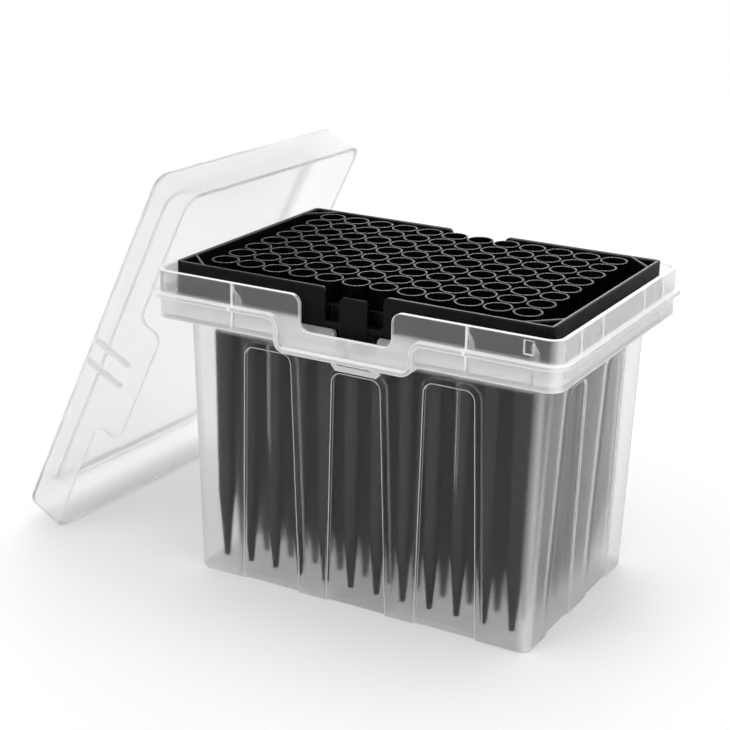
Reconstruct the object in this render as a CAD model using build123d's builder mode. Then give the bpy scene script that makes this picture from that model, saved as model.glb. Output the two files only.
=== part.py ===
from build123d import *
import os
from math import cos, radians, sin, tan

os.makedirs("parts", exist_ok=True)

# A box of pipette tips: a frosted tub, a black rack that sits on the tub's inner wall,
# 96 tips that hang in the rack, and a lid that is off and leans on the tub's lip.
# Millimetres. X runs along the box, Y from front to back, Z up from the middle of the base.

# --- Grid of tips ---------------------------------------------------------------------
PITCH = 9.0
COLUMNS = 12
ROWS = 8

# --- Tip ------------------------------------------------------------------------------
TIP_LENGTH = 96.6
TIP_COLLAR = 6.0  # height of the thick band under the rim
TIP_COLLAR_R = 4.15
TIP_NECK_R = 3.45  # right under the collar
TIP_WAIST_R = 2.62  # where the nose starts
TIP_END_R = 0.85
TIP_NOSE = 21.4  # length of the steeper nose cone
TIP_SEAL = 8.0  # depth of the tapered mouth that grips a nozzle
TIP_RIM_WALL = 0.45
TIP_SEAL_WALL = 0.55  # neck's radius less the bore at the bottom of that mouth
TIP_WAIST_WALL = 0.47
TIP_END_WALL = 0.45

# --- Rack -----------------------------------------------------------------------------
RACK_MARGIN_X = 7.3  # outer face beyond the outer tips' cells, ends
RACK_MARGIN_Y = 4.6  # the same, front and back
RACK_HEIGHT = 12.0
RACK_WALL = 1.1
RACK_CORNER_R = 1.5
DECK_DROP = 5.8  # deck below the rack's rim
DECK_THICK = 1.5
HOLE_CLEARANCE = 0.3  # round a tip's neck
FLANGE_THICK = 1.3  # foot that bears on the tub
NOTCH_HALF = 9.5  # finger notch, front and back
NOTCH_SILL = 2.0  # wall left under the notch
BAY_WALL = 0.9  # wall behind the notch
BAY_CLEARANCE = 0.35  # to the nearest tips' collars
TONGUE_HALF = 4.55
TONGUE_THICK = 1.2
TONGUE_PROUD = 0.4  # outer face beyond the rack's
TONGUE_DROP = 2.2  # top below the rack's rim
TONGUE_TAIL = 5.2  # hangs below the rack's foot
TONGUE_CHAMFER = 0.9
TONGUE_BEND = 3.2  # its top leans back over this height
TONGUE_LEAN = 0.3
WEB_LEG = 8.2  # diagonal web across each corner
WEB_THICK = 0.8

# --- Tub ------------------------------------------------------------------------------
TUB_WALL = 1.4
TUB_FLOOR = 1.6
TUB_BASE_R = 3.5
TUB_EDGE_R = 0.8  # round at the bottom edge
DRAFT = 1.72  # degrees on each side
TIP_GAP = 2.4  # under the tips' ends
OVERHANG_X = 1.8  # rack beyond the tub's inner wall, ends
OVERHANG_Y = 1.2
GUTTER_X = 3.0  # between rack and outer wall, ends
GUTTER_Y = 3.9
COLLAR_WALL = 1.3
COLLAR_R = 4.5
COLLAR_DROP = 2.0  # outer wall's top below the rack's rim
APRON = 4.7  # outer wall's bottom below the seat
LIP_OUT = 1.8
LIP_THICK = 1.3
LIP_RISE = 3.2  # lip's top above the seat
APRON_STEP = 2.9  # how far lip and outer wall drop in the middle of the long sides
STEP_HALF = 21.3
STEP_R = 2.4
DIP_HALF = 15.0  # dip in the outer wall's top, over each tongue
DIP_FLOOR = 0.7  # below the seat
DIP_R = 3.0
SLOT_HALF = 7.0  # slot in the inner wall, behind each tongue
SLOT_R = 2.5
FIN_THICK = 0.9  # upright ribs in the gutter
FIN_CLEARANCE = 0.4  # to the rack
FIN_LONG = 38.0  # place along the long sides, either side of the middle
FIN_CORNER = 57.3  # one more by the corners of one end
FIN_SHORT = (16.0, 31.5)  # places along the short sides
FIN_RUN = 8.6  # height of a fin's top above the seat
FIN_DROP = 0.5  # under the rack's foot
STOP_DROP = 1.7  # rib that stops each tongue: top below the dip's floor
CATCH = (55.0, 57.8)  # shallow catch for the lid, in the outer wall beside each corner fin
CATCH_DEPTH = 0.4
CATCH_DROP = 1.0  # top below the outer wall's top
CATCH_HEIGHT = 3.9
GUIDE_THICK = 0.8  # upright ribs inside the long walls
GUIDE_X = 31.5
GUIDE_CLEARANCE = 0.35  # to the tips
GUIDE_DROP = 0.5  # top below the seat

# Recessed channels that taper downwards: (place, height of the top below the seat)
CHANNELS_LONG = ((-30.0, 11.1), (0.0, 13.7), (30.0, 11.1))
CHANNELS_SHORT = ((-15.0, 11.4), (15.0, 11.4))
CHANNEL_LONG_TOP = 7.9  # half widths
CHANNEL_LONG_BASE = 10.1
CHANNEL_SHORT_TOP = 6.0
CHANNEL_SHORT_BASE = 8.7
CHANNEL_R = 3.0
CHANNEL_LONG_DEPTH = 1.25
CHANNEL_SHORT_DEPTH = 1.0

HOOD_HALF = 8.2  # bulge on the wall under each dip
HOOD_HEIGHT = 5.4
HOOD_OUT = 1.3
HOOD_BEVEL = 1.4
HOOD_SIDE = 1.4  # its front face is set in this far at the sides
HOOD_SLOPE = 2.3  # and this far at the bottom

# --- Lid ------------------------------------------------------------------------------
LID_CLEARANCE = 0.3  # round the tub's outer wall
LID_WALL = 1.3
LID_HEADROOM = 1.3  # over the tips
LID_CORNER_R = 6.0
LID_EDGE_R = 2.2
STACK_CLEARANCE_X = 1.15  # round the base of a tub stacked in the lid's panel
STACK_CLEARANCE_Y = 1.75
PANEL_DEPTH = 2.0
PANEL_R = 4.0
TAB_R = 3.5
LID_RIB_PLACE = 4.15  # either side of the middle
LID_RIB_THICK = 0.9
LID_RIB_OUT = 1.6
LID_RIB_LENGTH = 14.2
LID_LEAN = 25.8  # degrees from upright
LID_YAW = -2.65  # degrees about Z
LID_PLACE_Y = 7.6
LID_GAP = 0.3  # to the edge that it leans on

# --- What follows from those sizes ----------------------------------------------------
grid_x = COLUMNS * PITCH / 2
grid_y = ROWS * PITCH / 2
last_x = grid_x - PITCH / 2
last_y = grid_y - PITCH / 2
deck_z = TUB_FLOOR + TIP_GAP + TIP_LENGTH - TIP_COLLAR
rim_z = deck_z + TIP_COLLAR
rack_top = deck_z + DECK_DROP
seat_z = rack_top - RACK_HEIGHT
rack_x = grid_x + RACK_MARGIN_X
rack_y = grid_y + RACK_MARGIN_Y
seat_x = rack_x - OVERHANG_X
seat_y = rack_y - OVERHANG_Y
slope = tan(radians(DRAFT))
base_x = seat_x - seat_z * slope
base_y = seat_y - seat_z * slope
collar_in_x = rack_x + GUTTER_X
collar_in_y = rack_y + GUTTER_Y
collar_x = collar_in_x + COLLAR_WALL
collar_y = collar_in_y + COLLAR_WALL
collar_top = rack_top - COLLAR_DROP
apron_z = seat_z - APRON
lip_top = seat_z + LIP_RISE
lip_x = collar_x + LIP_OUT
lip_y = collar_y + LIP_OUT
dip_z = seat_z - DIP_FLOOR
gutter_low = apron_z - APRON_STEP
lid_x = collar_x + LID_CLEARANCE + LID_WALL
lid_y = collar_y + LID_CLEARANCE + LID_WALL
lid_height = rim_z + LID_HEADROOM + LID_WALL + PANEL_DEPTH - lip_top


# --- Tips -----------------------------------------------------------------------------
# One tip, its rim at the origin: collar, body cone and nose cone round a tapered bore.
with BuildPart() as tip:
    with BuildSketch(Plane.XZ):
        with BuildLine():
            Polyline(
                (TIP_COLLAR_R - TIP_RIM_WALL, 0),
                (TIP_COLLAR_R, 0),
                (TIP_COLLAR_R, -TIP_COLLAR),
                (TIP_NECK_R, -TIP_COLLAR),
                (TIP_WAIST_R, TIP_NOSE - TIP_LENGTH),
                (TIP_END_R, -TIP_LENGTH),
                (TIP_END_R - TIP_END_WALL, -TIP_LENGTH),
                (TIP_WAIST_R - TIP_WAIST_WALL, TIP_NOSE - TIP_LENGTH),
                (TIP_NECK_R - TIP_SEAL_WALL, -TIP_SEAL),
                close=True,
            )
        make_face()
    revolve(axis=Axis.Z)

# A column of tips is what a multichannel pipette picks up at once.
for number in range(COLUMNS):
    with BuildPart() as column:
        with Locations((number * PITCH - last_x, 0, rim_z)):
            with GridLocations(PITCH, PITCH, 1, ROWS):
                add(tip.part)
    column.part.label = f"tips_column_{number + 1}"
    export_step(column.part, f"parts/tips_column_{number + 1}.step")


# --- Rack -----------------------------------------------------------------------------
# A shallow tray: deck with a hole for each tip, upright wall, and a foot that bears on
# the tub. Front and back each have a finger notch, with a bay and a springy tongue.
hole_r = TIP_NECK_R + HOLE_CLEARANCE
bay_half = NOTCH_HALF + BAY_WALL
bay_in = last_y + TIP_COLLAR_R + BAY_CLEARANCE
bay_out = bay_in + BAY_WALL
bay_middle = (bay_in + rack_y - RACK_WALL / 2) / 2
bay_depth = rack_y - RACK_WALL / 2 - bay_in
foot_x = seat_x - TUB_WALL - 0.2
foot_y = seat_y - TUB_WALL - 0.2
sill_z = seat_z + NOTCH_SILL
tongue_out = rack_y + TONGUE_PROUD
tongue_top = rack_top - TONGUE_DROP

with BuildPart() as rack_wall:
    with BuildSketch(Plane.XY.offset(seat_z)):
        RectangleRounded(2 * rack_x, 2 * rack_y, RACK_CORNER_R)
        Rectangle(2 * (rack_x - RACK_WALL), 2 * (rack_y - RACK_WALL), mode=Mode.SUBTRACT)
    extrude(amount=RACK_HEIGHT)
    # elevation of the wall, with the notch's upper corners rounded
    with BuildSketch(Plane.XZ):
        with BuildLine():
            FilletPolyline(
                (-rack_x - 1, seat_z),
                (rack_x + 1, seat_z),
                (rack_x + 1, rack_top),
                (NOTCH_HALF, rack_top),
                (NOTCH_HALF, sill_z),
                (-NOTCH_HALF, sill_z),
                (-NOTCH_HALF, rack_top),
                (-rack_x - 1, rack_top),
                radius=(0, 0, 0, RACK_CORNER_R, 0, 0, RACK_CORNER_R, 0),
                close=True,
            )
        make_face()
    extrude(amount=rack_y + 1, both=True, mode=Mode.INTERSECT)

with BuildPart() as tongue:
    # section across the tongue: upright, its top leaning back a little
    with BuildSketch(Plane.YZ):
        with BuildLine():
            Polyline(
                (tongue_out - TONGUE_THICK, seat_z - TONGUE_TAIL),
                (tongue_out, seat_z - TONGUE_TAIL),
                (tongue_out, tongue_top - TONGUE_BEND),
                (tongue_out - TONGUE_LEAN, tongue_top),
                (tongue_out - TONGUE_THICK - TONGUE_LEAN, tongue_top),
                (tongue_out - TONGUE_THICK, tongue_top - TONGUE_BEND),
                close=True,
            )
        make_face()
    extrude(amount=TONGUE_HALF, both=True)
    top_corners = tongue.edges().filter_by(Axis.Y).group_by(Axis.Z)[-1]
    chamfer(top_corners, TONGUE_CHAMFER)
    mirror(about=Plane.XZ)

with BuildPart() as rack:
    add(rack_wall.part)
    # deck, cut back at both bays
    with BuildSketch(Plane.XY.offset(deck_z - DECK_THICK)):
        Rectangle(2 * rack_x - RACK_WALL, 2 * rack_y - RACK_WALL)
        with Locations((0, bay_middle), (0, -bay_middle)):
            Rectangle(2 * NOTCH_HALF, bay_depth, mode=Mode.SUBTRACT)
        with GridLocations(PITCH, PITCH, COLUMNS, ROWS):
            Circle(hole_r, mode=Mode.SUBTRACT)
    extrude(amount=DECK_THICK)
    # foot
    with BuildSketch(Plane.XY.offset(seat_z)):
        Rectangle(2 * rack_x - RACK_WALL, 2 * rack_y - RACK_WALL)
        Rectangle(2 * foot_x, 2 * foot_y, mode=Mode.SUBTRACT)
        with Locations((0, bay_middle), (0, -bay_middle)):
            Rectangle(2 * bay_half, bay_depth)
    extrude(amount=FLANGE_THICK)
    # walls round each bay
    with BuildSketch(Plane.XY.offset(seat_z)):
        with Locations((0, bay_middle), (0, -bay_middle)):
            Rectangle(2 * bay_half, bay_depth)
        with Locations((0, bay_middle + BAY_WALL), (0, -bay_middle - BAY_WALL)):
            Rectangle(2 * NOTCH_HALF, bay_depth, mode=Mode.SUBTRACT)
    extrude(amount=deck_z - seat_z)
    # diagonal web across each corner
    with BuildSketch(Plane.XY.offset(deck_z)):
        with BuildLine():
            Polyline(
                (rack_x - RACK_WALL - WEB_LEG, rack_y - RACK_WALL / 2),
                (rack_x - RACK_WALL - WEB_LEG - WEB_THICK, rack_y - RACK_WALL / 2),
                (rack_x - RACK_WALL / 2, rack_y - RACK_WALL - WEB_LEG - WEB_THICK),
                (rack_x - RACK_WALL / 2, rack_y - RACK_WALL - WEB_LEG),
                close=True,
            )
        make_face()
        mirror(about=Plane.YZ)
        mirror(about=Plane.XZ)
    extrude(amount=DECK_DROP)
    add(tongue.part)

rack.part.label = "rack"
export_step(rack.part, "parts/rack.step")


# --- Tub ------------------------------------------------------------------------------
# One moulding: a drafted body with recessed channels, and round its top a gutter, an outer
# wall with a dip over each tongue, and a lip that steps down under each dip.
step_out = STEP_HALF + LIP_THICK
step_out_r = STEP_R + LIP_THICK
reach = lip_x + 1
fin_low = apron_z + LIP_THICK / 2
fin_under = seat_z - FIN_DROP
guide_y = last_y + TIP_NECK_R + GUIDE_CLEARANCE
guide_low = (guide_y + CHANNEL_LONG_DEPTH + TUB_WALL - base_y) / slope
mid_x = collar_x - COLLAR_WALL / 2
mid_y = collar_y - COLLAR_WALL / 2
mid_r = COLLAR_R - COLLAR_WALL / 2


def body_outline(inset, height):
    """Outline of the leaning body at a height, set in from its outer face."""
    with BuildSketch(Plane.XY.offset(height)) as outline:
        RectangleRounded(
            2 * (base_x + height * slope - inset),
            2 * (base_y + height * slope - inset),
            TUB_BASE_R + height * slope - inset,
        )
    return outline.sketch


with BuildPart() as cavity:
    extrude(body_outline(TUB_WALL, TUB_FLOOR), seat_z + 1 - TUB_FLOOR, taper=-DRAFT)

with BuildPart() as outer_wall:
    with BuildSketch(Plane.XY.offset(gutter_low)):
        RectangleRounded(2 * collar_x, 2 * collar_y, COLLAR_R)
        RectangleRounded(
            2 * collar_in_x, 2 * collar_in_y, COLLAR_R - COLLAR_WALL, mode=Mode.SUBTRACT
        )
    extrude(amount=collar_top - gutter_low)
    # elevation: a dip in the top, and a lower bottom edge under it
    with BuildSketch(Plane.XZ):
        with BuildLine():
            FilletPolyline(
                (-reach, apron_z),
                (reach, apron_z),
                (reach, collar_top),
                (DIP_HALF, collar_top),
                (DIP_HALF, dip_z),
                (-DIP_HALF, dip_z),
                (-DIP_HALF, collar_top),
                (-reach, collar_top),
                radius=(0, 0, 0, DIP_R, DIP_R, DIP_R, DIP_R, 0),
                close=True,
            )
        make_face()
        with BuildLine():
            FilletPolyline(
                (-step_out, apron_z + LIP_THICK),
                (-step_out, gutter_low),
                (step_out, gutter_low),
                (step_out, apron_z + LIP_THICK),
                radius=(0, step_out_r, step_out_r, 0),
                close=True,
            )
        make_face()
    extrude(amount=collar_y + 1, both=True, mode=Mode.INTERSECT)

with BuildPart() as lip:
    with BuildSketch(Plane.XY.offset(gutter_low)):
        RectangleRounded(2 * lip_x, 2 * lip_y, COLLAR_R + LIP_OUT)
        RectangleRounded(2 * mid_x, 2 * mid_y, mid_r, mode=Mode.SUBTRACT)
    extrude(amount=lip_top - gutter_low)
    # elevation: one thickness all the way, stepped down in the middle
    with BuildSketch(Plane.XZ):
        with BuildLine():
            FilletPolyline(
                (-reach, lip_top),
                (-STEP_HALF, lip_top),
                (-STEP_HALF, gutter_low + LIP_THICK),
                (STEP_HALF, gutter_low + LIP_THICK),
                (STEP_HALF, lip_top),
                (reach, lip_top),
                (reach, lip_top - LIP_THICK),
                (step_out, lip_top - LIP_THICK),
                (step_out, gutter_low),
                (-step_out, gutter_low),
                (-step_out, lip_top - LIP_THICK),
                (-reach, lip_top - LIP_THICK),
                radius=(
                    0, step_out_r, STEP_R, STEP_R, step_out_r, 0,
                    0, STEP_R, step_out_r, step_out_r, STEP_R, 0,
                ),
                close=True,
            )
        make_face()
    extrude(amount=lip_y + 1, both=True, mode=Mode.INTERSECT)

with BuildPart() as gutter:
    with BuildSketch(Plane.XY.offset(gutter_low)):
        RectangleRounded(2 * mid_x, 2 * mid_y, mid_r)
    extrude(amount=APRON_STEP + LIP_THICK)
    # elevation: the gutter's floor drops with the lip
    with BuildSketch(Plane.XZ):
        with Locations((0, apron_z + LIP_THICK / 2)):
            Rectangle(2 * reach, LIP_THICK)
            Rectangle(2 * STEP_HALF, LIP_THICK, mode=Mode.SUBTRACT)
        with BuildLine():
            FilletPolyline(
                (-step_out, apron_z + LIP_THICK),
                (-step_out, gutter_low),
                (step_out, gutter_low),
                (step_out, apron_z + LIP_THICK),
                (STEP_HALF, apron_z + LIP_THICK),
                (STEP_HALF, gutter_low + LIP_THICK),
                (-STEP_HALF, gutter_low + LIP_THICK),
                (-STEP_HALF, apron_z + LIP_THICK),
                radius=(0, step_out_r, step_out_r, 0, 0, STEP_R, STEP_R, 0),
                close=True,
            )
        make_face()
    extrude(amount=lip_y, both=True, mode=Mode.INTERSECT)


def fin_outline(plane, body, rack_face, wall):
    """Upright rib across the gutter; its pointed top guides the rack past its edge."""
    with BuildSketch(plane) as outline:
        with BuildLine():
            Polyline(
                (body - 3 * TUB_WALL, fin_low),
                (wall, fin_low),
                (wall, seat_z + FIN_RUN),
                (rack_face + FIN_CLEARANCE, seat_z + FIN_RUN / 2),
                (rack_face + FIN_CLEARANCE, fin_under),
                (body - 3 * TUB_WALL, fin_under),
                close=True,
            )
        make_face()
    return outline.sketch


with BuildPart() as fins:
    across = fin_outline(Plane.YZ.offset(FIN_LONG), seat_y, rack_y, mid_y)
    extrude(across, FIN_THICK / 2, both=True)
    for place in FIN_SHORT:
        across = fin_outline(Plane.XZ.offset(-place), seat_x, rack_x, mid_x)
        extrude(across, FIN_THICK / 2, both=True)
    mirror(about=Plane.XZ)
    mirror(about=Plane.YZ)


with BuildPart() as corner_fins:
    across = fin_outline(Plane.YZ.offset(FIN_CORNER), seat_y, rack_y, mid_y)
    extrude(across, FIN_THICK / 2, both=True)
    # low rib that keeps the tongue from being pushed against the outer wall
    with BuildSketch(Plane.YZ):
        with BuildLine():
            Polyline(
                (rack_y + TONGUE_PROUD + FIN_CLEARANCE, gutter_low + LIP_THICK / 2),
                (mid_y, gutter_low + LIP_THICK / 2),
                (mid_y, dip_z - STOP_DROP),
                (rack_y + TONGUE_PROUD + FIN_CLEARANCE, dip_z - STOP_DROP),
                close=True,
            )
        make_face()
    extrude(amount=FIN_THICK / 2, both=True)
    mirror(about=Plane.XZ)

with BuildPart() as catches:
    with BuildSketch(Plane.XZ.offset(collar_y - CATCH_DEPTH)):
        with Locations((CATCH[0], collar_top - CATCH_DROP)):
            Rectangle(CATCH[1] - CATCH[0], CATCH_HEIGHT, align=(Align.MIN, Align.MAX))
    extrude(amount=2 * CATCH_DEPTH)
    mirror(about=Plane.XZ)


def wall_plane(side, place, inset):
    """Plane along a leaning wall: X along the wall, Y up it, set in from its face."""
    lean = radians(DRAFT)
    if side == "long":
        face = Plane((place, -base_y, 0), (1, 0, 0), (0, -cos(lean), -sin(lean)))
    else:
        face = Plane((-base_x, place, 0), (0, -1, 0), (-cos(lean), 0, -sin(lean)))
    return face.offset(-inset)


def channel_outline(plane, low, top, half_top, half_base, radius):
    """Outline of a channel, narrower at its top, whose corners are round."""
    with BuildSketch(plane) as outline:
        with BuildLine():
            FilletPolyline(
                (-half_base, low),
                (half_base, low),
                (half_top, top),
                (-half_top, top),
                radius=(0, 0, radius, radius),
                close=True,
            )
        make_face()
    return outline.sketch


# What the channels take from the outside.
with BuildPart() as channels:
    for place, drop in CHANNELS_LONG:
        face = wall_plane("long", place, CHANNEL_LONG_DEPTH)
        shape = channel_outline(
            face, -1, seat_z - drop, CHANNEL_LONG_TOP, CHANNEL_LONG_BASE, CHANNEL_R
        )
        extrude(shape, CHANNEL_LONG_DEPTH + 1)
    for place, drop in CHANNELS_SHORT:
        face = wall_plane("short", place, CHANNEL_SHORT_DEPTH)
        shape = channel_outline(
            face, -1, seat_z - drop, CHANNEL_SHORT_TOP, CHANNEL_SHORT_BASE, CHANNEL_R
        )
        extrude(shape, CHANNEL_SHORT_DEPTH + 1)
    mirror(about=Plane.XZ)
    mirror(about=Plane.YZ)

# The pads that keep the wall as thick behind each channel.
with BuildPart() as pads:
    for place, drop in CHANNELS_LONG:
        face = wall_plane("long", place, CHANNEL_LONG_DEPTH + TUB_WALL)
        shape = channel_outline(
            face,
            TUB_FLOOR / 2,
            seat_z - drop + TUB_WALL,
            CHANNEL_LONG_TOP + TUB_WALL,
            CHANNEL_LONG_BASE + TUB_WALL,
            CHANNEL_R + TUB_WALL,
        )
        extrude(shape, CHANNEL_LONG_DEPTH + TUB_WALL / 2)
    for place, drop in CHANNELS_SHORT:
        face = wall_plane("short", place, CHANNEL_SHORT_DEPTH + TUB_WALL)
        shape = channel_outline(
            face,
            TUB_FLOOR / 2,
            seat_z - drop + TUB_WALL,
            CHANNEL_SHORT_TOP + TUB_WALL,
            CHANNEL_SHORT_BASE + TUB_WALL,
            CHANNEL_R + TUB_WALL,
        )
        extrude(shape, CHANNEL_SHORT_DEPTH + TUB_WALL / 2)
    mirror(about=Plane.XZ)
    mirror(about=Plane.YZ)

# Thin upright ribs inside the long walls; each fades out where the leaning wall meets it.
with BuildPart() as guides:
    with BuildSketch(Plane.YZ.offset(GUIDE_X)):
        with BuildLine():
            Polyline(
                (guide_y, guide_low),
                (base_y + guide_low * slope - TUB_WALL / 2, guide_low),
                (seat_y - TUB_WALL / 2, seat_z - GUIDE_DROP),
                (guide_y, seat_z - GUIDE_DROP),
                close=True,
            )
        make_face()
    extrude(amount=GUIDE_THICK / 2, both=True)
    mirror(about=Plane.XZ)
    mirror(about=Plane.YZ)


def hood_outline(inset, low, high, face):
    """Outline of the hood, its lower corners bevelled, on an upright plane in front."""
    half = HOOD_HALF - inset
    with BuildSketch(Plane.XZ.offset(face)) as outline:
        with BuildLine():
            Polyline(
                (-half, high),
                (-half, low + HOOD_BEVEL),
                (-half + HOOD_BEVEL, low),
                (half - HOOD_BEVEL, low),
                (half, low + HOOD_BEVEL),
                (half, high),
                close=True,
            )
        make_face()
    return outline.sketch


hood_low = gutter_low - HOOD_HEIGHT
hood_top = gutter_low + LIP_THICK / 2
hood_back = base_y + hood_low * slope
hood_out = base_y + gutter_low * slope + HOOD_OUT

# The hood slopes in from the wall to its smaller front face.
with BuildPart() as hoods:
    back = hood_outline(0, hood_low, hood_top, hood_back)
    front = hood_outline(HOOD_SIDE, hood_low + HOOD_SLOPE, hood_top, hood_out)
    loft([back, front])
    extrude(back, -TUB_WALL / 2)
    mirror(about=Plane.XZ)

with BuildPart() as hood_pockets:
    front = hood_outline(
        HOOD_SIDE + TUB_WALL / 2, hood_low + HOOD_SLOPE + TUB_WALL / 2, gutter_low, guide_y
    )
    extrude(front, hood_out - TUB_WALL - guide_y)
    mirror(about=Plane.XZ)

# Slot through the inner wall behind each tongue, its upper corners rounded off.
with BuildPart() as slots:
    with BuildSketch(Plane.XZ):
        with BuildLine():
            Line((SLOT_HALF + SLOT_R, seat_z), (-SLOT_HALF - SLOT_R, seat_z))
            CenterArc((-SLOT_HALF - SLOT_R, seat_z - SLOT_R), SLOT_R, 90, -90)
            Line((-SLOT_HALF, seat_z - SLOT_R), (-SLOT_HALF, gutter_low + LIP_THICK))
            Line(
                (-SLOT_HALF, gutter_low + LIP_THICK), (SLOT_HALF, gutter_low + LIP_THICK)
            )
            Line((SLOT_HALF, gutter_low + LIP_THICK), (SLOT_HALF, seat_z - SLOT_R))
            CenterArc((SLOT_HALF + SLOT_R, seat_z - SLOT_R), SLOT_R, 180, -90)
        make_face()
    extrude(amount=seat_y + GUTTER_Y / 2, both=True)

with BuildPart() as tub:
    extrude(body_outline(0, 0), seat_z, taper=-DRAFT)
    fillet(tub.faces().sort_by(Axis.Z)[0].edges(), TUB_EDGE_R)
    add(hoods.part)
    add(gutter.part)
    add(outer_wall.part)
    add(lip.part)
    add(fins.part)
    add(corner_fins.part)
    add(catches.part, mode=Mode.SUBTRACT)
    add(cavity.part, mode=Mode.SUBTRACT)
    add(hood_pockets.part, mode=Mode.SUBTRACT)
    add(pads.part)
    add(guides.part)
    add(channels.part, mode=Mode.SUBTRACT)
    add(slots.part, mode=Mode.SUBTRACT)

tub.part.label = "tub"
export_step(tub.part, "parts/tub.step")


# --- Lid ------------------------------------------------------------------------------
# A shallow cover with a recessed panel that a stacked tub stands in, and a tab on each
# long side that fills the dip. It is built rim down and then laid against the tub.
tab_half = STEP_HALF - LID_CLEARANCE
tab_depth = lip_top - gutter_low - LIP_THICK - LID_CLEARANCE
panel_x = base_x + STACK_CLEARANCE_X
panel_y = base_y + STACK_CLEARANCE_Y
ceiling = lid_height - LID_WALL

with BuildPart() as hollow:
    with BuildSketch(Plane.XY.offset(-tab_depth - 1)):
        RectangleRounded(
            2 * (lid_x - LID_WALL), 2 * (lid_y - LID_WALL), LID_CORNER_R - LID_WALL
        )
    extrude(amount=ceiling + tab_depth + 1)
    fillet(hollow.faces().sort_by(Axis.Z)[-1].edges(), LID_EDGE_R - LID_WALL)

with BuildPart() as cover:
    with BuildSketch(Plane.XY.offset(-tab_depth)):
        RectangleRounded(2 * lid_x, 2 * lid_y, LID_CORNER_R)
    extrude(amount=lid_height + tab_depth)
    fillet(cover.faces().sort_by(Axis.Z)[-1].edges(), LID_EDGE_R)
    add(hollow.part, mode=Mode.SUBTRACT)
    # elevation: the rim, with a tab hanging below it
    with BuildSketch(Plane.XZ):
        with BuildLine():
            FilletPolyline(
                (-lid_x - 1, 0),
                (-tab_half, 0),
                (-tab_half, -tab_depth),
                (tab_half, -tab_depth),
                (tab_half, 0),
                (lid_x + 1, 0),
                (lid_x + 1, lid_height + 1),
                (-lid_x - 1, lid_height + 1),
                radius=(0, step_out_r, TAB_R, TAB_R, step_out_r, 0, 0, 0),
                close=True,
            )
        make_face()
    extrude(amount=lid_y + 1, both=True, mode=Mode.INTERSECT)
    # recessed panel
    with BuildSketch(Plane.XY.offset(ceiling - PANEL_DEPTH)):
        RectangleRounded(
            2 * (panel_x + LID_WALL), 2 * (panel_y + LID_WALL), PANEL_R + LID_WALL
        )
    extrude(amount=PANEL_DEPTH + LID_WALL / 2)
    with BuildSketch(Plane.XY.offset(lid_height - PANEL_DEPTH)):
        RectangleRounded(2 * panel_x, 2 * panel_y, PANEL_R)
    extrude(amount=PANEL_DEPTH, mode=Mode.SUBTRACT)
    # a pair of short ribs inside each long wall
    rib_reach = LID_RIB_OUT + LID_WALL / 2
    rib_y = lid_y - LID_WALL / 2 - rib_reach / 2
    with BuildSketch(Plane.XY.offset(ceiling - LID_RIB_LENGTH)):
        with GridLocations(2 * LID_RIB_PLACE, 2 * rib_y, 2, 2):
            Rectangle(LID_RIB_THICK, rib_reach)
    extrude(amount=LID_RIB_LENGTH + LID_WALL / 2)

# Where it leans: the lower end of its rim stands on the ground, and the inner edge of its
# near long wall lies against the top edge of the tub's outer wall. If its tab reached as
# high as that wall, the tab would touch first.
lean = radians(LID_LEAN)
yaw = radians(LID_YAW)


def stand_off(height, depth):
    """How far out the lid must stand to clear the outer wall at a height."""
    along = (height * sin(lean) + depth) / cos(lean) * sin(yaw)
    along -= (lid_y - LID_WALL) * cos(yaw)
    return LID_GAP + depth + height * sin(lean) - along * cos(lean) * sin(yaw)


tab_reach = (lid_x + tab_half) * cos(lean) - tab_depth * sin(lean)
clear = stand_off(collar_top, 0)
if tab_reach > apron_z:
    clear = max(clear, stand_off(min(tab_reach, collar_top), tab_depth))
foot_of_lid = -collar_x - clear / (cos(lean) * cos(yaw))
lid_pose = Plane(
    origin=(foot_of_lid, LID_PLACE_Y, 0),
    x_dir=(sin(lean) * cos(yaw), sin(lean) * sin(yaw), cos(lean)),
    z_dir=(-cos(lean) * cos(yaw), -cos(lean) * sin(yaw), sin(lean)),
)

with BuildPart(lid_pose) as lid:
    with Locations((lid_x, 0, 0)):
        add(cover.part)

lid.part.label = "lid"
export_step(lid.part, "parts/lid.step")
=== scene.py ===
"""Finishes for a pipette tip box: frosted tub and lid, black rack and tips, on a pale floor."""

import math

import bpy
from bpy.props import FloatProperty, FloatVectorProperty, PointerProperty, StringProperty
from mathutils import Matrix, Vector


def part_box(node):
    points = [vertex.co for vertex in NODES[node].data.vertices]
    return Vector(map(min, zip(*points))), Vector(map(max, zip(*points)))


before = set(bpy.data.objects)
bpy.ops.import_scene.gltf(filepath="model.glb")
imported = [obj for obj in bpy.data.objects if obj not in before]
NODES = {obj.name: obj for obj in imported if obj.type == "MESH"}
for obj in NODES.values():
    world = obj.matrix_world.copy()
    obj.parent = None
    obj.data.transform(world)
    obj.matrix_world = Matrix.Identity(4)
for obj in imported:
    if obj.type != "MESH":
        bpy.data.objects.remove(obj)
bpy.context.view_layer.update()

bl_info = {
    "name": "Pipette tip box finishes",
    "version": (1, 0, 0),
    "blender": (4, 5, 0),
    "location": "3D View > Sidebar > Tip box",
    "description": "Moulded finishes, camera and studio for a box of pipette tips",
    "category": "Material",
}

MM = 0.001
TIP_COLUMNS = sorted(
    (name for name in NODES if name.startswith("tips_column")),
    key=lambda name: int(name.split("_")[-1]),
)

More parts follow.
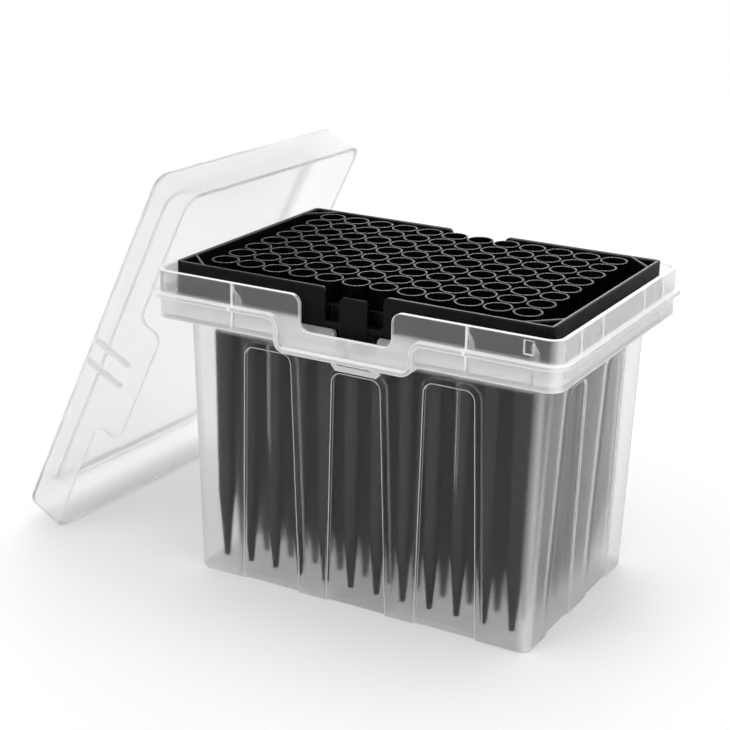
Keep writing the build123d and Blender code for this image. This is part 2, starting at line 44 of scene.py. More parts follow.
# Heights on the tub
COLLAR_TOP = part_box("tub")[1].z
LIP_TOP = COLLAR_TOP - 6.8 * MM
APRON_LOW = COLLAR_TOP - 14.7 * MM  # bottom of the wall under the lip
LIP_LOW = COLLAR_TOP - 17.6 * MM  # the same where it drops below each dip
HOOD_LOW = COLLAR_TOP - 24.0 * MM  # just under the bulge below each dip
BLEND = 1.0 * MM  # height over which one finish passes into the next

# The tub seen from above
BODY_FOOT = (56.85 * MM, 36.75 * MM, 0)  # half sizes of the leaning body at the floor
BODY_LEAN = 0.03  # how much wider it grows with height
COLLAR_OUT = 6.3 * MM  # how far the collar stands out from it
WALL = 1.4 * MM
FINS = (("X", 38.0 * MM), ("Y", 16.0 * MM), ("Y", 31.5 * MM))  # where ribs meet the outer wall
FIN_HALF = 0.25 * MM  # half width of a rib's line, which then fades over as much again
CORNER_STARTS, CORNER_FULL = -4.0 * MM, -1.5 * MM  # where a corner's haze starts and is full

# Rack and tips
RACK_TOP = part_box("rack")[1].z
RACK_OUTSIDE = (61.3 * MM, 40.6 * MM, 1)  # half sizes of its outer faces
DECK_LOW = RACK_TOP - 7.3 * MM  # the tips' collars stand above the rack's deck
TIPS_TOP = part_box(TIP_COLUMNS[0])[1].z
RIM_BAND = 1.0 * MM  # how far below the top the rims' painted highlight reaches
OUTER_STARTS, OUTER_FULL = -0.5 * MM, -0.3 * MM  # where that painted highlight fades near an outer face

# Skins
POLYPROPYLENE_IOR = 1.49
EDGE_STARTS, EDGE_FULL = 0.99, 0.88  # cosine of the turn where an edge's line starts and is full
EDGE_SAMPLES = 8
EDGE_FAINT = 0.4  # share of an edge's painted glow that shows inside the wall
UP_STARTS, UP_FULL = 0.8, 0.98  # upward part of the normal of a face that looks up
DOWN_STARTS, DOWN_FULL = -0.2, -0.3  # the same for a face that looks down
END_STARTS, END_FULL = 0.6, 0.95  # sideways part of the normal of an end wall
CLOUD_DETAIL, GRAIN_DETAIL, NOISE_ROUGHNESS = 3.0, 2.0, 0.55
NOISE_LOW, NOISE_HIGH = 0.3, 0.7  # the noise seldom leaves this range
ROUGHNESS_SPREAD = 0.06  # how much the clouding changes the roughness, either way
GRAIN_DEPTH = 0.05 * MM

# Studio
WHITE = (1.0, 1.0, 1.0, 1.0)
FLOOR_HALF = 4.0
FADE_STARTS, FADE_ENDS = 0.3, 0.9  # where the floor turns to the backdrop's white
BOX_MIDDLE = Vector((0, 0, 0.08))
LAMPS = (
    # name, place, size
    ("overhead", (0.05, 0.25, 1.0), 0.5),
    ("front", (-0.5, -1.1, 0.9), 0.7),
    ("side", (1.1, 0.0, 0.6), 0.6),
    ("back", (-0.6, 1.07, 0.5), 0.7),
)
SENSOR_WIDTH = 36.0  # mm
CLIP_NEAR, CLIP_FAR = 0.01, 50.0

# Limits that most settings share
SHARE = {"min": 0, "max": 1, "subtype": "FACTOR"}
DULLNESS = {"min": 0.05, "max": 1, "subtype": "FACTOR"}


# --- Colours and nodes ------------------------------------------------------------------
def linear(hex_colour):
    """An sRGB hex colour as linear red, green, blue and alpha."""
    parts = [int(hex_colour.lstrip("#")[i : i + 2], 16) / 255 for i in (0, 2, 4)]
    return [c / 12.92 if c <= 0.04045 else ((c + 0.055) / 1.055) ** 2.4 for c in parts] + [1.0]


def add_node(tree, kind, inputs=None, **settings):
    """Adds a node, sets its properties, and gives each named input a value or a link."""
    node = tree.nodes.new(kind)
    for name, value in settings.items():
        setattr(node, name, value)
    for name, value in (inputs or {}).items():
        if isinstance(value, bpy.types.NodeSocket):
            tree.links.new(value, node.inputs[name])
        else:
            node.inputs[name].default_value = value
    return node


def set_stops(ramp, shares):
    """Gives a colour ramp its stops, as positions and grey shares in rising order."""
    stops = ramp.color_ramp.elements
    while len(stops) < len(shares):
        stops.new(1.0)
    for stop, (position, share) in zip(stops, shares):
        stop.position, stop.color = position, (share, share, share, 1)


def new_material(name):
    """An empty node material and its tree."""
    material = bpy.data.materials.new(name)
    material.use_nodes = True
    material.node_tree.nodes.clear()
    return material, material.node_tree


def give(names, material):
    """Puts a material on the slots of these CAD nodes."""
    for name in names:
        for slot in NODES[name].material_slots:
            slot.material = material


def rounded_edges(tree, radius):
    """A normal that turns over each edge within the radius, and how far it turns, 0 to 1."""
    turned = add_node(
        tree, "ShaderNodeBevel", {"Radius": radius}, samples=EDGE_SAMPLES
    ).outputs["Normal"]
    flat = add_node(tree, "ShaderNodeNewGeometry").outputs["Normal"]
    same = add_node(
        tree, "ShaderNodeVectorMath", {0: turned, 1: flat}, operation="DOT_PRODUCT"
    ).outputs["Value"]
    edge = add_node(
        tree, "ShaderNodeMapRange", {"Value": same, "From Min": EDGE_STARTS, "From Max": EDGE_FULL}
    ).outputs["Result"]
    return turned, edge


def beyond_faces(tree, place, half_sizes):
    """How far a point lies outside upright faces at these half sizes, along X and along Y, and
    its plain distances from the middle."""
    spread = add_node(tree, "ShaderNodeVectorMath", {0: place}, operation="ABSOLUTE").outputs[0]
    beyond = add_node(
        tree, "ShaderNodeVectorMath", {0: spread, 1: half_sizes}, operation="SUBTRACT"
    ).outputs[0]
    return add_node(tree, "ShaderNodeSeparateXYZ", {0: beyond}).outputs, spread


def moulded_skin(tree, look, deep, pale):
    """What every moulded skin has: a slow clouding of its colour and of its roughness, and a
    fine grain on a normal that turns over the edges. The grain that a textured tool leaves is
    about 0.1 mm wide, too fine to show, so it is drawn as coarse as it needs to be."""
    place = add_node(tree, "ShaderNodeTexCoord").outputs["Object"]
    cloud, grain = (
        add_node(
            tree,
            "ShaderNodeTexNoise",
            {
                "Vector": place,
                "Scale": 1 / size,
                "Detail": detail,
                "Roughness": NOISE_ROUGHNESS,
            },
        ).outputs["Fac"]
        for size, detail in ((look.cloud_size, CLOUD_DETAIL), (look.grain_size, GRAIN_DETAIL))
    )
    shade = add_node(
        tree, "ShaderNodeMix", {0: cloud, 6: linear(deep), 7: linear(pale)}, data_type="RGBA"
    ).outputs[2]
    rough = add_node(
        tree,
        "ShaderNodeMapRange",
        {
            "Value": cloud,
            "From Min": NOISE_LOW,
            "From Max": NOISE_HIGH,
            "To Min": (1 - ROUGHNESS_SPREAD) * look.roughness,
            "To Max": (1 + ROUGHNESS_SPREAD) * look.roughness,
        },
    ).outputs["Result"]
    turned, edge = rounded_edges(tree, look.edge_radius)
    bump = add_node(
        tree,
        "ShaderNodeBump",
        {
            "Height": grain,
            "Strength": look.grain_strength,
            "Distance": GRAIN_DEPTH,
            "Normal": turned,
        },
    ).outputs["Normal"]
    return place, shade, rough, turned, edge, bump


# --- Materials --------------------------------------------------------------------------
def tub_places(tree, look, place, height, edge):
    """The tub's pale edges, a painted glow that is fainter inside the wall, and the extra milky
    share of its faces that look up or down, its corners, its collar's end walls and its ribs; on
    the faces of the rim that look up this share is painted light."""
    # how far in from the body's leaning outer face, and from both faces at a corner
    sides, spread = beyond_faces(tree, place, BODY_FOOT)
    out, inside = (
        add_node(
            tree,
            "ShaderNodeMath",
            {
                0: height,
                1: -BODY_LEAN,
                2: add_node(
                    tree, "ShaderNodeMath", {0: sides["X"], 1: sides["Y"]}, operation=farther
                ).outputs[0],
            },
            operation="MULTIPLY_ADD",
        ).outputs[0]
        for farther in ("MAXIMUM", "MINIMUM")
    )

    # the painted glow on the edges, by depth into the wall: full on the outer face, faint within,
    # none on the inner face and the panels behind it, and full again further in
    reach = 4 * WALL
    inward = add_node(
        tree, "ShaderNodeMath", {0: out, 1: -1 / reach}, operation="MULTIPLY"
    ).outputs[0]
    line = add_node(tree, "ShaderNodeValToRGB", {0: inward})
    depths = (
        # depth, share
        (0.0, 1.0),
        (0.25 * MM, 1.0),
        (0.45 * MM, EDGE_FAINT),
        (1.3 * MM, EDGE_FAINT),
        (1.45 * MM, look.inner_edge),
        (2.75 * MM, look.inner_edge),
        (2.95 * MM, 1.0),
    )
    set_stops(line, [(depth / reach, share) for depth, share in depths])
    lines = add_node(
        tree, "ShaderNodeMath", {0: edge, 1: line.outputs[0]}, operation="MULTIPLY"
    ).outputs[0]

    # faces that look up, on the base and on the rim, where the rim's share is painted light from
    # above, and faces that look down
    normal = add_node(tree, "ShaderNodeNewGeometry").outputs["Normal"]
    tilt = add_node(tree, "ShaderNodeSeparateXYZ", {0: normal}).outputs["Z"]
    up = add_node(
        tree, "ShaderNodeMapRange", {"Value": tilt, "From Min": UP_STARTS, "From Max": UP_FULL}
    ).outputs["Result"]
    top = add_node(
        tree,
        "ShaderNodeMapRange",
        {
            "Value": height,
            "From Min": LIP_LOW - BLEND,
            "From Max": LIP_LOW,
            "To Min": look.base_haze,
            "To Max": look.painted_top_light,
        },
    ).outputs["Result"]
    extra = add_node(tree, "ShaderNodeMath", {0: up, 1: top}, operation="MULTIPLY").outputs[0]
    down = add_node(
        tree, "ShaderNodeMapRange", {"Value": tilt, "From Min": DOWN_STARTS, "From Max": DOWN_FULL}
    ).outputs["Result"]
    under = add_node(
        tree,
        "ShaderNodeMapRange",
        {
            "Value": height,
            "From Min": HOOD_LOW,
            "From Max": HOOD_LOW + BLEND,
            "To Max": look.under_haze,
        },
    ).outputs["Result"]
    extra = add_node(
        tree, "ShaderNodeMath", {0: down, 1: under, 2: extra}, operation="MULTIPLY_ADD"
    ).outputs[0]

    # the collar's end walls
    across = add_node(tree, "ShaderNodeVectorMath", {0: normal}, operation="ABSOLUTE").outputs[0]
    end = add_node(
        tree,
        "ShaderNodeMapRange",
        {
            "Value": add_node(tree, "ShaderNodeSeparateXYZ", {0: across}).outputs["X"],
            "From Min": END_STARTS,
            "From Max": END_FULL,
            "To Max": look.end_haze,
        },
    ).outputs["Result"]
    collar = add_node(
        tree,
        "ShaderNodeMapRange",
        {"Value": height, "From Min": LIP_TOP, "From Max": LIP_TOP + BLEND / 2},
    ).outputs["Result"]
    extra = add_node(
        tree, "ShaderNodeMath", {0: end, 1: collar, 2: extra}, operation="MULTIPLY_ADD"
    ).outputs[0]

    # the upright corners, of the body and of the collar, which stands further out
    step = add_node(
        tree,
        "ShaderNodeMapRange",
        {
            "Value": height,
            "From Min": LIP_LOW - BLEND / 2,
            "From Max": LIP_LOW + BLEND / 2,
            "To Max": COLLAR_OUT,
        },
    ).outputs["Result"]
    inside = add_node(
        tree, "ShaderNodeMath", {0: inside, 1: step}, operation="SUBTRACT"
    ).outputs[0]
    corner = add_node(
        tree,
        "ShaderNodeMapRange",
        {
            "Value": inside,
            "From Min": CORNER_STARTS,
            "From Max": CORNER_FULL,
            "To Max": look.corner_haze,
        },
    ).outputs["Result"]
    extra = add_node(tree, "ShaderNodeMath", {0: extra, 1: corner}, operation="ADD").outputs[0]

    # a whiter line where a rib thickens the wall
    along = add_node(tree, "ShaderNodeSeparateXYZ", {0: spread}).outputs
    upper = add_node(
        tree,
        "ShaderNodeMapRange",
        {"Value": height, "From Min": APRON_LOW, "From Max": LIP_TOP, "To Max": look.rib_haze},
    ).outputs["Result"]
    for axis, middle in FINS:
        off = add_node(
            tree, "ShaderNodeMath", {0: along[axis], 1: middle}, operation="SUBTRACT"
        ).outputs[0]
        off = add_node(tree, "ShaderNodeMath", {0: off}, operation="ABSOLUTE").outputs[0]
        near = add_node(
            tree,
            "ShaderNodeMapRange",
            {
                "Value": off,
                "From Min": FIN_HALF,
                "From Max": 2 * FIN_HALF,
                "To Min": 1.0,
                "To Max": 0.0,
            },
        ).outputs["Result"]
        extra = add_node(
            tree, "ShaderNodeMath", {0: near, 1: upper, 2: extra}, operation="MULTIPLY_ADD"
        ).outputs[0]
    return lines, extra


def frosted_polypropylene(name, look, haze_by_height, places=None):
    """Natural polypropylene, injection moulded in a lightly textured tool: clear enough to see
    what is inside, with a milky haze and pale edges where light leaves the wall.
    haze_by_height gives the milky share at rising heights in metres."""
    material, tree = new_material(name)
    place, shade, rough, _, edge, bump = moulded_skin(
        tree, look, look.shade_thick, look.shade_thin
    )
    # milky share by height
    height = add_node(tree, "ShaderNodeSeparateXYZ", {0: place}).outputs["Z"]
    top = haze_by_height[-1][0]
    rise = add_node(tree, "ShaderNodeMath", {0: height, 1: top}, operation="DIVIDE").outputs[0]
    ramp = add_node(tree, "ShaderNodeValToRGB", {0: rise})
    set_stops(ramp, [(level / top, share) for level, share in haze_by_height])
    # more of it on edges, a painted glow where light leaves the wall
    lines, extra = places(tree, look, place, height, edge) if places else (edge, 0.0)
    milk = add_node(
        tree,
        "ShaderNodeMath",
        {0: lines, 1: look.edge_glow, 2: ramp.outputs[0]},
        operation="MULTIPLY_ADD",
    ).outputs[0]
    milk = add_node(tree, "ShaderNodeMath", {0: milk, 1: extra}, operation="ADD").outputs[0]
    clear = add_node(
        tree, "ShaderNodeMath", {0: 1.0, 1: milk}, operation="SUBTRACT", use_clamp=True
    ).outputs[0]
    skin = add_node(
        tree,
        "ShaderNodeBsdfPrincipled",
        {
            "Base Color": shade,
            "Roughness": rough,
            "IOR": look.ior,
            "Transmission Weight": clear,
            "Normal": bump,
        },
    )
    add_node(tree, "ShaderNodeOutputMaterial", {"Surface": skin.outputs["BSDF"]})
    return material


def black_polypropylene(name, look, rim_top, outside=None, dull_above=None):
    """Carbon-filled black polypropylene, injection moulded: deep black, a soft sheen on flat faces
    and a painted highlight, a thin light line of a strongly reflecting coat along the rounded
    edges, brightest where the rim looks up. If the half sizes of its outside are given, the
    painted line stays off the outer edges. If a height is given, the skin is duller above it."""
    material, tree = new_material(name)
    place, shade, rough, turned, edge, bump = moulded_skin(
        tree, look, look.shade_dark, look.shade_light
    )
    height = add_node(tree, "ShaderNodeSeparateXYZ", {0: place}).outputs["Z"]
    # painted highlight: a strongly reflecting coat along the rounded edges, full near the rim's
    # top and where faces look up
    rim = add_node(
        tree,
        "ShaderNodeMapRange",
        {
            "Value": height,
            "From Min": rim_top - 1.5 * RIM_BAND,
            "From Max": rim_top - RIM_BAND,
            "To Min": look.low_edges,
        },
    ).outputs["Result"]
    line = add_node(tree, "ShaderNodeMath", {0: edge, 1: rim}, operation="MULTIPLY").outputs[0]
    normal = add_node(tree, "ShaderNodeNewGeometry").outputs["Normal"]
    up = add_node(
        tree,
        "ShaderNodeMapRange",
        {
            "Value": add_node(tree, "ShaderNodeSeparateXYZ", {0: normal}).outputs["Z"],
            "From Min": UP_STARTS,
            "From Max": UP_FULL,
            "To Min": look.side_edges,
        },
    ).outputs["Result"]
    line = add_node(tree, "ShaderNodeMath", {0: line, 1: up}, operation="MULTIPLY").outputs[0]
    if outside:
        sides, _ = beyond_faces(tree, place, outside)
        out = add_node(
            tree, "ShaderNodeMath", {0: sides["X"], 1: sides["Y"]}, operation="MAXIMUM"
        ).outputs[0]
        inner = add_node(
            tree,
            "ShaderNodeMapRange",
            {
                "Value": out,
                "From Min": OUTER_STARTS,
                "From Max": OUTER_FULL,
                "To Min": 1.0,
                "To Max": look.low_edges,
            },
        ).outputs["Result"]
        line = add_node(
            tree, "ShaderNodeMath", {0: line, 1: inner}, operation="MULTIPLY"
        ).outputs[0]
    gloss = look.gloss
    if dull_above:
        gloss = add_node(
            tree,
            "ShaderNodeMapRange",
            {
                "Value": height,
                "From Min": dull_above - BLEND,
                "From Max": dull_above,
                "To Min": look.gloss,
                "To Max": look.collar_gloss,
            },
        ).outputs["Result"]
    skin = add_node(
        tree,
        "ShaderNodeBsdfPrincipled",
        {
            "Base Color": shade,
            "Roughness": rough,
            "IOR": POLYPROPYLENE_IOR,
            "Specular IOR Level": gloss,
            "Coat Weight": line,
            "Coat Roughness": look.edge_roughness,
            "Coat IOR": look.edge_ior,
            "Coat Normal": turned,
            "Normal": bump,
        },
    )
    add_node(tree, "ShaderNodeOutputMaterial", {"Surface": skin.outputs["BSDF"]})
    return material


# --- What a user would change -----------------------------------------------------------
class FrostedSizes:
    """What the tub's and the lid's plastic have in common."""

    shade_thick: StringProperty(
        name="Deeper shade",
        description="Colour of the cloudier places, as sRGB hex",
        default="#FCFDFD",
    )
    shade_thin: StringProperty(
        name="Lighter shade",
        description="Colour of the clearer places, as sRGB hex",
        default="#FFFFFF",
    )
    roughness: FloatProperty(
        name="Roughness",
        description="How far the skin blurs what is behind it",
        default=0.3,
        **DULLNESS,
    )
    cloud_size: FloatProperty(
        name="Cloud size",
        description="Width of the clouding",
        default=18.0 * MM,
        min=1 * MM,
        unit="LENGTH",
    )
    grain_size: FloatProperty(
        name="Grain size",
        description="Width of the skin's grain",
        default=0.7 * MM,
        min=0.05 * MM,
        unit="LENGTH",
    )
    grain_strength: FloatProperty(
        name="Grain strength", description="Depth of the skin's grain", default=0.01, **SHARE
    )
    # the pale line on the edges is a painted glow where light leaves the wall, drawn as a milky
    # share
    edge_glow: FloatProperty(
        name="Edge haze", description="Milky share on the edges", default=0.95, **SHARE
    )


class TubLook(FrostedSizes, bpy.types.PropertyGroup):
    """The see-through plastic of the tub."""

    ior: FloatProperty(
        name="Refraction",
        description="Refractive index, lowered from 1.49 for soft reflections",
        default=1.2,
        min=1,
        max=2,
    )
    edge_radius: FloatProperty(
        name="Edge radius",
        description="Rounding of the moulded edges",
        default=0.5 * MM,
        min=0,
        unit="LENGTH",
    )
    # the pale line here is the painted glow on the edges
    inner_edge: FloatProperty(
        name="Inner edges",
        description="Share of the pale line on edges inside the wall",
        default=0.0,
        **SHARE,
    )
    corner_haze: FloatProperty(
        name="Corner haze",
        description="Milky share added in the upright corners",
        default=0.3,
        **SHARE,
    )
    rib_haze: FloatProperty(
        name="Rib haze",
        description="Milky share added where ribs meet the outer wall",
        default=0.6,
        **SHARE,
    )
    end_haze: FloatProperty(
        name="End haze",
        description="Milky share added on the collar's end walls",
        default=0.25,
        **SHARE,
    )
    base_haze: FloatProperty(
        name="Base haze", description="Milky share of the base's upper face", default=0.3, **SHARE
    )
    body_haze: FloatProperty(
        name="Body haze", description="Milky share of the body's walls", default=0.008, **SHARE
    )
    apron_haze: FloatProperty(
        name="Apron haze",
        description="Milky share under the lip, where the plastic is deepest",
        default=0.36,
        **SHARE,
    )
    lip_haze: FloatProperty(
        name="Lip haze", description="Milky share round the lip's top", default=0.38, **SHARE
    )
    collar_haze: FloatProperty(
        name="Collar haze", description="Milky share of the textured collar", default=0.06, **SHARE
    )
    # painted light: the faces of the rim that look up are made whiter, as if lit from above and by
    # light leaving the wall
    painted_top_light: FloatProperty(
        name="Top haze",
        description="Milky share added where the rim looks up",
        default=0.9,
        **SHARE,
    )
    under_haze: FloatProperty(
        name="Under haze",
        description="Milky share added where lip and hood look down",
        default=0.6,
        **SHARE,
    )


class LidLook(FrostedSizes, bpy.types.PropertyGroup):
    """The see-through plastic of the lid."""

    ior: FloatProperty(
        name="Refraction",
        description="Refractive index, lowered from 1.49 for soft reflections",
        default=1.18,
        min=1,
        max=2,
    )
    edge_radius: FloatProperty(
        name="Edge radius",
        description="Rounding of the moulded edges",
        default=0.6 * MM,
        min=0,
        unit="LENGTH",
    )
    haze: FloatProperty(
        name="Haze",
        description="Milky share of the lid's walls",
        default=0.1,
        **SHARE,
    )


class BlackSizes:
    """What the rack's and the tips' plastic have in common."""

    cloud_size: FloatProperty(
        name="Cloud size",
        description="Width of the shading",
        default=12.0 * MM,
        min=1 * MM,
        unit="LENGTH",
    )
    grain_size: FloatProperty(
        name="Grain size",
        description="Width of the skin's grain",
        default=0.5 * MM,
        min=0.05 * MM,
        unit="LENGTH",
    )
    grain_strength: FloatProperty(
        name="Grain strength", description="Depth of the skin's grain", default=0.2, **SHARE
    )
    roughness: FloatProperty(
        name="Roughness",
        description="How dull the skin is",
        default=0.42,
        **DULLNESS,
    )
    # the light line in these settings is a painted highlight along the edges
    side_edges: FloatProperty(
        name="Side edges",
        description="Share of the light line on upright faces",
        default=0.2,
        **SHARE,
    )
    edge_roughness: FloatProperty(
        name="Edge roughness", description="How dull the light line is", default=0.2, **DULLNESS
    )
    low_edges: FloatProperty(
        name="Low edges",
        description="Share of the light line on edges below the rim",
        default=0.12,
        **SHARE,
    )


class RackLook(BlackSizes, bpy.types.PropertyGroup):
    """The black plastic of the rack."""

    shade_dark: StringProperty(
        name="Darker shade",
        description="Colour of the darker places, as sRGB hex",
        default="#050505",
    )
    shade_light: StringProperty(
        name="Lighter shade",
        description="Colour of the lighter places, as sRGB hex",
        default="#0A0A0A",
    )
    gloss: FloatProperty(
        name="Gloss",
        description="Strength of the reflections",
        default=0.1,
        **SHARE,
    )
    edge_radius: FloatProperty(
        name="Edge radius",
        description="Rounding of the moulded edges",
        default=1.0 * MM,
        min=0,
        unit="LENGTH",
    )
    # the edge shine is a painted highlight: an outsized refractive index for the coat on the edges
    edge_ior: FloatProperty(
        name="Edge shine",
        description="Refractive index of the burnished edges",
        default=2.5,
        min=1,
        max=10,
    )


class TipsLook(BlackSizes, bpy.types.PropertyGroup):
    """The black conductive plastic of the tips."""

    shade_dark: StringProperty(
        name="Darker shade",
        description="Colour of the darker places, as sRGB hex",
        default="#030303",
    )
    shade_light: StringProperty(
        name="Lighter shade",
        description="Colour of the lighter places, as sRGB hex",
        default="#070707",
    )
    gloss: FloatProperty(
        name="Gloss", description="Strength of the reflections on the bodies", default=0.4, **SHARE
    )
    collar_gloss: FloatProperty(
        name="Collar gloss",
        description="Strength of the reflections on the collars",
        default=0.02,
        **SHARE,
    )
    edge_radius: FloatProperty(
        name="Edge radius",
        description="Rounding of the moulded edges",
        default=0.25 * MM,
        min=0,
        unit="LENGTH",
    )
    # the rims' shine is a painted highlight: an outsized refractive index for the coat on the rims
    edge_ior: FloatProperty(
        name="Edge shine",
        description="Refractive index of the burnished rims",
        default=10.0,
        min=1,
        max=10,
    )


class StudioLook(bpy.types.PropertyGroup):
    """Camera, lamps and floor."""

    lens: FloatProperty(
        name="Lens", description="Focal length", default=83.97, min=10, unit="CAMERA"
    )
    camera_place: FloatVectorProperty(
        name="Camera",
        description="Where the camera stands",
        default=(0.22754, -0.44071, 0.23546),
        subtype="XYZ",
        unit="LENGTH",
    )
    camera_turn: FloatProperty(
        name="Turn",
        description="Direction of view, from +Y towards -X",
        default=math.radians(29.196),
        subtype="ANGLE",
    )
    camera_dip: FloatProperty(
        name="Dip",
        description="Direction of view below the horizon",
        default=math.radians(18.787),
        subtype="ANGLE",
    )
    camera_roll: FloatProperty(
        name="Roll",
        description="Tilt of the camera about its view",
        default=math.radians(1.09),
        subtype="ANGLE",
    )
    floor_shade: StringProperty(
        name="Floor", description="Colour of floor and backdrop, as sRGB hex", default="#F6F6F6"
    )
    floor_glow: FloatProperty(
        name="Floor glow",
        description="Share of the floor that stays white in shadow",
        default=0.18,
        **SHARE,
    )
    air_level: FloatProperty(
        name="Air level",
        description="Light from all round",
        default=0.9,
        min=0,
    )
    overhead_watts: FloatProperty(
        name="Overhead lamp",
        description="Power of the soft lamp above",
        default=1.5,
        min=0,
        unit="POWER",
    )
    front_watts: FloatProperty(
        name="Front lamp",
        description="Power of the soft lamp in front",
        default=3.0,
        min=0,
        unit="POWER",
    )
    side_watts: FloatProperty(
        name="Side lamp",
        description="Power of the soft lamp on the right",
        default=1.4,
        min=0,
        unit="POWER",
    )
    back_watts: FloatProperty(
        name="Back lamp",
        description="Power of the soft lamp behind",
        default=3.0,
        min=0,
        unit="POWER",
    )


# --- Operators --------------------------------------------------------------------------
class TIPBOX_OT_tub(bpy.types.Operator):
    """Gives the tub its frosted finish"""

    bl_idname = "tipbox.tub"
    bl_label = "Finish the tub"

    def execute(self, context):
        look = context.scene.tipbox_tub
        levels = (
            # height, milky share
            (0.0, look.body_haze),
            (LIP_LOW - BLEND, look.body_haze),
            (LIP_LOW + BLEND / 2, look.apron_haze),
            (LIP_TOP - BLEND / 2, look.lip_haze),
            (LIP_TOP + BLEND, look.collar_haze),
            (COLLAR_TOP, look.collar_haze),
        )
        give(["tub"], frosted_polypropylene("frosted_polypropylene_tub", look, levels, tub_places))
        return {"FINISHED"}


class TIPBOX_OT_lid(bpy.types.Operator):
    """Gives the lid its frosted finish"""

    bl_idname = "tipbox.lid"
    bl_label = "Finish the lid"

    def execute(self, context):
        look = context.scene.tipbox_lid
        levels = ((0.0, look.haze), (COLLAR_TOP, look.haze))
        give(["lid"], frosted_polypropylene("frosted_polypropylene_lid", look, levels))
        return {"FINISHED"}


class TIPBOX_OT_rack(bpy.types.Operator):
    """Gives the rack its black finish"""

    bl_idname = "tipbox.rack"
    bl_label = "Finish the rack"

    def execute(self, context):
        look = context.scene.tipbox_rack
        give(
            ["rack"],
            black_polypropylene("black_polypropylene_rack", look, RACK_TOP, outside=RACK_OUTSIDE),
        )
        return {"FINISHED"}


class TIPBOX_OT_tips(bpy.types.Operator):
    """Gives the twelve columns of tips their black finish"""

    bl_idname = "tipbox.tips"
    bl_label = "Finish the tips"

    def execute(self, context):
        look = context.scene.tipbox_tips
        give(
            TIP_COLUMNS,
            black_polypropylene("black_polypropylene_tips", look, TIPS_TOP, dull_above=DECK_LOW),
        )
        return {"FINISHED"}


def soft_lamp(name, place, size, watts):
    """A square area lamp that faces the box and shows only as light and in reflections."""
    data = bpy.data.lights.new(name, "AREA")
    data.shape, data.size, data.energy = "SQUARE", size, watts
    lamp = bpy.data.objects.new(name, data)
    bpy.context.scene.collection.objects.link(lamp)
    turn = (BOX_MIDDLE - Vector(place)).to_track_quat("-Z", "Y")
    lamp.matrix_world = Matrix.Translation(place) @ turn.to_matrix().to_4x4()
    lamp.visible_camera = lamp.visible_transmission = False


def seen_white(tree):
    """1 for rays from the camera, off gloss or through glass, and 0 for the rest."""
    path = add_node(tree, "ShaderNodeLightPath").outputs
    seen = add_node(
        tree,
        "ShaderNodeMath",
        {0: path["Is Camera Ray"], 1: path["Is Glossy Ray"]},
        operation="MAXIMUM",
    ).outputs[0]
    return add_node(
        tree, "ShaderNodeMath", {0: seen, 1: path["Is Transmission Ray"]}, operation="MAXIMUM"
    ).outputs[0]


def studio_floor(look):
    """Pale matt paper that turns to the backdrop's white well away from the box."""
    material, tree = new_material("studio_floor")
    matt = add_node(tree, "ShaderNodeBsdfDiffuse", {"Color": linear(look.floor_shade)}).outputs[0]
    glow = add_node(
        tree, "ShaderNodeEmission", {"Color": WHITE, "Strength": 1.0}
    ).outputs[0]
    spot = add_node(tree, "ShaderNodeTexCoord").outputs["Object"]
    away = add_node(tree, "ShaderNodeVectorMath", {0: spot}, operation="LENGTH").outputs["Value"]
    level = add_node(
        tree,
        "ShaderNodeMapRange",
        {"Value": away, "From Min": FADE_STARTS, "From Max": FADE_ENDS, "To Min": look.floor_glow},
    ).outputs["Result"]
    share = add_node(
        tree, "ShaderNodeMath", {0: seen_white(tree), 1: level}, operation="MULTIPLY"
    ).outputs[0]
    both = add_node(tree, "ShaderNodeMixShader", {0: share, 1: matt, 2: glow}).outputs[0]
    add_node(tree, "ShaderNodeOutputMaterial", {"Surface": both})
    return material


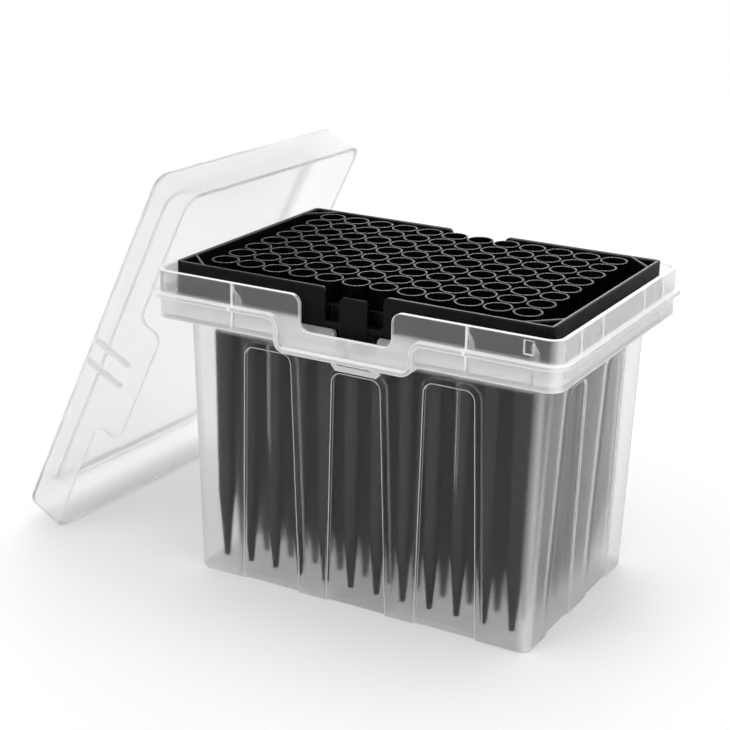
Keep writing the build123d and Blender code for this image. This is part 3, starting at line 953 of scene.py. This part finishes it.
class TIPBOX_OT_stage(bpy.types.Operator):
    """Sets up the pale floor, the soft lamps and the camera"""

    bl_idname = "tipbox.stage"
    bl_label = "Set up the studio"

    def execute(self, context):
        scene, look = context.scene, context.scene.tipbox_studio
        # floor
        mesh = bpy.data.meshes.new("floor")
        corners = [
            (x * FLOOR_HALF, y * FLOOR_HALF, 0) for x, y in ((-1, -1), (1, -1), (1, 1), (-1, 1))
        ]
        mesh.from_pydata(corners, [], [(0, 1, 2, 3)])
        mesh.materials.append(studio_floor(look))
        floor = bpy.data.objects.new("floor", mesh)
        scene.collection.objects.link(floor)
        # light
        world = bpy.data.worlds.new("studio")
        world.use_nodes = True
        tree = world.node_tree
        tree.nodes.clear()
        level = add_node(
            tree, "ShaderNodeMapRange", {"Value": seen_white(tree), "To Min": look.air_level}
        ).outputs["Result"]
        air = add_node(
            tree, "ShaderNodeBackground", {"Color": WHITE, "Strength": level}
        ).outputs[0]
        add_node(tree, "ShaderNodeOutputWorld", {"Surface": air})
        scene.world = world
        for name, place, size in LAMPS:
            soft_lamp(name, place, size, getattr(look, name + "_watts"))
        # camera
        data = bpy.data.cameras.new("camera")
        data.sensor_width, data.lens = SENSOR_WIDTH, look.lens
        data.clip_start, data.clip_end = CLIP_NEAR, CLIP_FAR
        camera = bpy.data.objects.new("camera", data)
        scene.collection.objects.link(camera)
        camera.matrix_world = (
            Matrix.Translation(look.camera_place)
            @ Matrix.Rotation(look.camera_turn, 4, "Z")
            @ Matrix.Rotation(math.pi / 2 - look.camera_dip, 4, "X")
            @ Matrix.Rotation(look.camera_roll, 4, "Z")
        )
        scene.camera = camera
        scene.view_settings.view_transform = "Standard"
        return {"FINISHED"}


class TIPBOX_PT_panel(bpy.types.Panel):
    """Lists the looks and the steps"""

    bl_label = "Tip box"
    bl_idname = "TIPBOX_PT_panel"
    bl_space_type = "VIEW_3D"
    bl_region_type = "UI"
    bl_category = "Tip box"

    def draw(self, context):
        for step, look in STEPS:
            column = self.layout.column(align=True)
            column.operator(step.bl_idname)
            settings = getattr(context.scene, look)
            for name in settings.bl_rna.properties.keys():
                if name not in ("rna_type", "name"):
                    column.prop(settings, name)


STEPS = (
    (TIPBOX_OT_tub, "tipbox_tub"),
    (TIPBOX_OT_lid, "tipbox_lid"),
    (TIPBOX_OT_rack, "tipbox_rack"),
    (TIPBOX_OT_tips, "tipbox_tips"),
    (TIPBOX_OT_stage, "tipbox_studio"),
)
LOOKS = {
    "tipbox_tub": TubLook,
    "tipbox_lid": LidLook,
    "tipbox_rack": RackLook,
    "tipbox_tips": TipsLook,
    "tipbox_studio": StudioLook,
}
CLASSES = (*LOOKS.values(), *[step for step, _ in STEPS], TIPBOX_PT_panel)


def register():
    for cls in CLASSES:
        bpy.utils.register_class(cls)
    for name, look in LOOKS.items():
        setattr(bpy.types.Scene, name, PointerProperty(type=look))


def unregister():
    for name in LOOKS:
        delattr(bpy.types.Scene, name)
    for cls in reversed(CLASSES):
        bpy.utils.unregister_class(cls)


def main():
    register()
    bpy.ops.tipbox.tub()
    bpy.ops.tipbox.lid()
    bpy.ops.tipbox.rack()
    bpy.ops.tipbox.tips()
    bpy.ops.tipbox.stage()
    bpy.context.view_layer.update()


if __name__ == "__main__":
    main()
